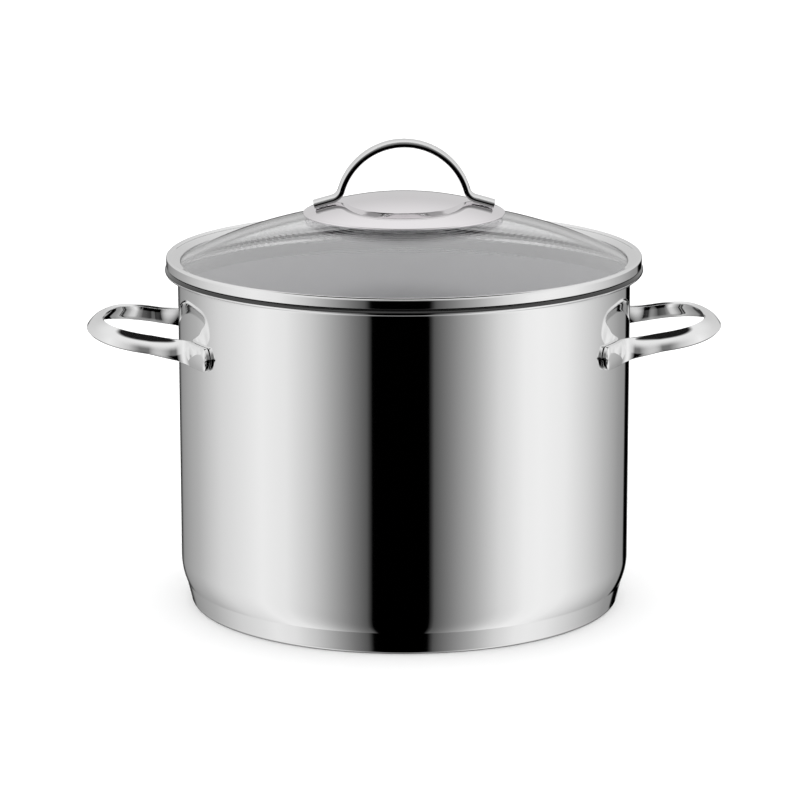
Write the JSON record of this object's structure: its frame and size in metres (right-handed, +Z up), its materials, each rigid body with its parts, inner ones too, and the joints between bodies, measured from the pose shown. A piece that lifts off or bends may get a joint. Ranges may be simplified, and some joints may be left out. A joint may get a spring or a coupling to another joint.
{
  "type": "stock pot",
  "caption": "Tall cylindrical steel cooking pot with a thick base, loop side handles and a domed glass lid with a steel rim and a bow handle.",
  "frame": {"origin": "centre of the base on the surface the pot stands on", "axes": "+Z up along the pot's axis; the two side handles lie along X; Y is across the bow handle"},
  "size_m": [0.3398, 0.2556, 0.2505],
  "materials": {
    "polished_body": "bright polished stainless steel, satin inside",
    "base_steel": "polished stainless steel side, fine turned underside",
    "core_aluminium": "plain, enclosed",
    "handle_steel": "mirror polished stainless steel",
    "weld_steel": "ground weld metal",
    "lid_glass": "clear tempered glass",
    "rim_steel": "polished stainless steel",
    "silicone": "matt heat-proof silicone",
    "disc_steel": "mirror polished stainless steel",
    "fitting_steel": "turned stainless steel"
  },
  "bodies": {
    "pot": {"pot_body": "polished_body", "base_core": "core_aluminium", "base_cap": "base_steel", "handle_left": "handle_steel", "handle_right": "handle_steel", "handle_welds_left": "weld_steel", "handle_welds_right": "weld_steel"},
    "lid": {"lid_glass": "lid_glass", "lid_band": "rim_steel", "lid_seal": "silicone", "lid_disc": "disc_steel", "lid_handle": "handle_steel", "lid_handle_welds": "weld_steel", "lid_boss": "fitting_steel", "upper_gasket": "silicone", "glass_bushing": "silicone", "lower_gasket": "silicone", "cup_washer": "fitting_steel", "lock_washer": "fitting_steel", "lid_screw": "fitting_steel"}
  },
  "joints": [
    {"name": "lid_lift", "type": "slide", "parent": "pot", "child": "lid", "axis": [0, 0, 1], "range_m": [0, 0.16]}
  ]
}
